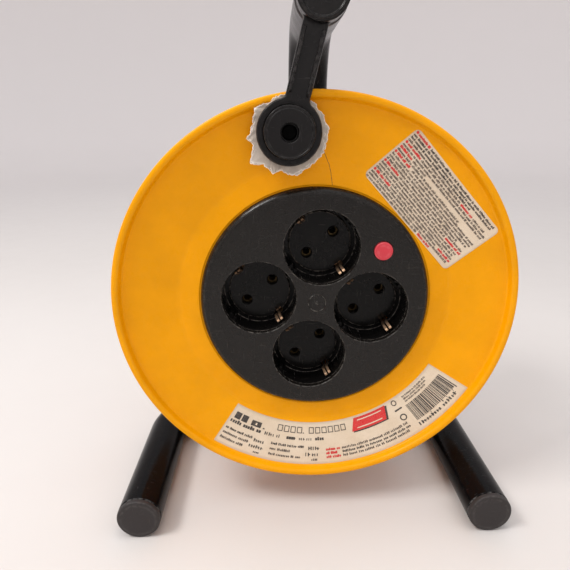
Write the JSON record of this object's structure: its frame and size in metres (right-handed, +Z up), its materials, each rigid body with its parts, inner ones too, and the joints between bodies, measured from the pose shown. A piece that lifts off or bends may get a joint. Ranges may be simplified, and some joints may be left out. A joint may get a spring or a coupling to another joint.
{
  "type": "extension cord reel",
  "caption": "Hand-wound extension cord reel: plastic drum with earthed sockets and a reset button, turning on a bent steel tube stand with a carrying handle",
  "frame": {"origin": "on the ground under the middle of the reel's outer box", "axes": "+Z up, +Y away from the socket face along the drum's axis, +X to the right as seen from the socket face"},
  "size_m": [0.2268, 0.134, 0.2927],
  "materials": {
    "yellow_plastic": "satin moulded plastic",
    "charcoal_plastic": "fine matte moulding",
    "socket_plastic": "glossy moulding",
    "black_plastic": "satin moulding",
    "cap_plastic": "matte moulding",
    "painted_steel": "gloss black paint",
    "zinc_steel": "zinc plated",
    "brass_strip": "stamped strip, slightly tarnished",
    "natural_nylon": "natural nylon",
    "red_plastic": "satin moulding",
    "label_paper": "printed paper, slightly yellowed"
  },
  "bodies": {
    "frame": {"base_tube": "painted_steel", "upright_tube": "painted_steel", "weld_bead": "painted_steel", "foot_cap_left": "cap_plastic", "foot_cap_right": "cap_plastic", "handle_end_plug": "cap_plastic", "axle_bolt": "zinc_steel", "axle_nut": "zinc_steel", "axle_spacer": "cap_plastic", "saddle_washer": "cap_plastic", "thrust_washer": "zinc_steel"},
    "drum": {"button_spring": "zinc_steel", "cable_gland": "cap_plastic", "carrier_screw_1": "zinc_steel", "carrier_screw_2": "zinc_steel", "carrier_screw_3": "zinc_steel", "contact_carrier": "charcoal_plastic", "drum_core": "yellow_plastic", "earth_clip_bottom": "brass_strip", "earth_clip_left": "brass_strip", "earth_clip_right": "brass_strip", "earth_clip_top": "brass_strip", "earth_strap": "brass_strip", "front_flange": "yellow_plastic", "front_screw_1": "zinc_steel", "front_screw_2": "zinc_steel", "front_screw_3": "zinc_steel", "front_screw_4": "zinc_steel", "gland_nut": "cap_plastic", "hub_bush": "natural_nylon", "knob_pin": "zinc_steel", "knob_pin_nut": "zinc_steel", "live_busbar": "brass_strip", "neutral_busbar": "brass_strip", "rating_label": "label_paper", "rear_flange": "yellow_plastic", "rear_screw_1": "zinc_steel", "rear_screw_2": "zinc_steel", "rear_screw_3": "zinc_steel", "rear_screw_4": "zinc_steel", "socket_plate": "charcoal_plastic", "socket_well_bottom": "socket_plastic", "socket_well_left": "socket_plastic", "socket_well_right": "socket_plastic", "socket_well_top": "socket_plastic", "terminal_block": "natural_nylon", "thermal_cutout": "charcoal_plastic", "torn_paper": "label_paper", "type_label": "label_paper"},
    "knob": {"winding_knob": "black_plastic"},
    "lock_arm": {"lock_arm": "black_plastic"},
    "reset_button": {"reset_button": "red_plastic"}
  },
  "joints": [
    {"name": "drum_spin", "type": "hinge", "parent": "frame", "child": "drum", "pos_m": [0, 0.01605, 0.1323], "axis": [0, -1, 0], "continuous": true},
    {"name": "knob_spin", "type": "hinge", "parent": "drum", "child": "knob", "pos_m": [-0.0147, -0.05095, 0.2223], "axis": [0, -1, 0], "continuous": true},
    {"name": "arm_swing", "type": "hinge", "parent": "drum", "child": "lock_arm", "pos_m": [-0.0147, -0.04695, 0.2223], "axis": [0, -1, 0], "range_deg": [-96, 143]},
    {"name": "button_press", "type": "slide", "parent": "drum", "child": "reset_button", "axis": [0, 1, 0], "range_m": [0, 0.0025], "stiffness_N_per_m": 400}
  ]
}
